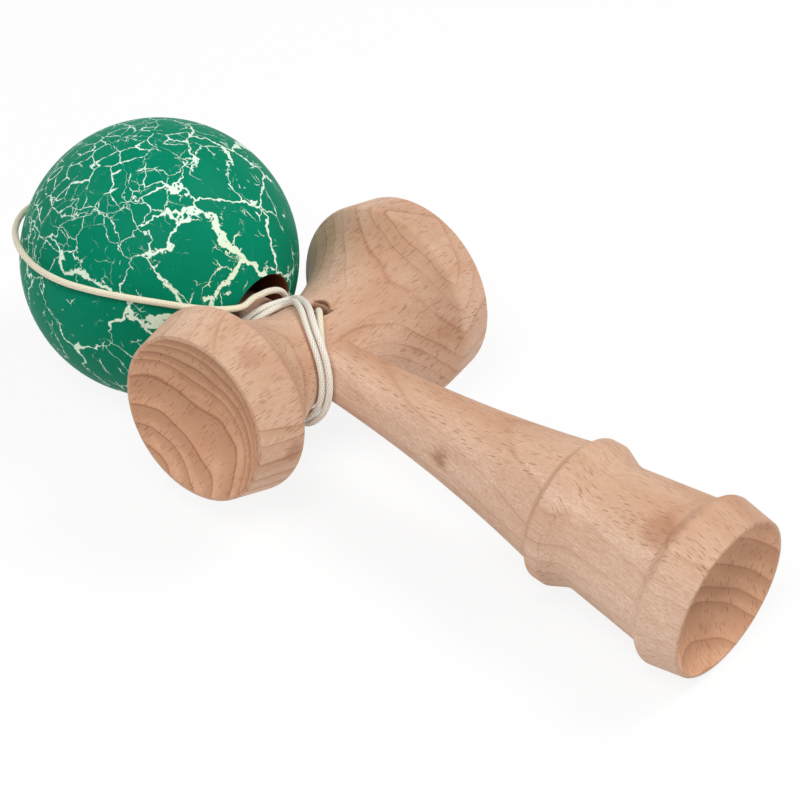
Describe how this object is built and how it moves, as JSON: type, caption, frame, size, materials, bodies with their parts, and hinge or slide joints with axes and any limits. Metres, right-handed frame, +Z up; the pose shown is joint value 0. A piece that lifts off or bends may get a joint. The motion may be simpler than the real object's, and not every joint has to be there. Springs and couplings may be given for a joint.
{
  "type": "kendama",
  "caption": "Wooden cup-and-ball toy lying on its side: turned beech handle with spike and cups, green crackle-painted ball on the spike, cotton string wound round the crosspiece.",
  "frame": {"origin": "Middle of the footprint, on the surface that the toy lies on.", "axes": "+Z is up. +X runs towards the base cup, -X towards the ball. +Y runs towards the big cup, -Y towards the small cup."},
  "size_m": [0.183, 0.074, 0.06],
  "materials": {
    "beech": "smooth bare beech, fine dark pores along the grain",
    "crackle_paint": "glossy green crackle paint over cream on a wooden ball",
    "bead_wood": "plain turned wood",
    "cotton": "braided off-white cord"
  },
  "bodies": {
    "ken": {"ken": "beech", "sarado": "beech", "ken_knot": "cotton", "string_lead": "cotton", "string_wraps": "cotton", "string_run": "cotton"},
    "bead": {"bead": "bead_wood", "bead_knot": "cotton", "string_tail": "cotton"},
    "tama": {"tama": "crackle_paint"}
  },
  "joints": [
    {"name": "tama_lift", "type": "slide", "parent": "ken", "child": "bead", "axis": [-0.9985, 0, 0.0546], "range_m": [0, 0.05], "deforming": ["string_run"]},
    {"name": "tama_spin", "type": "hinge", "parent": "bead", "child": "tama", "pos_m": [-0.06059, -0.00127, 0.03], "axis": [-0.9985, 0, 0.0546], "continuous": true}
  ]
}
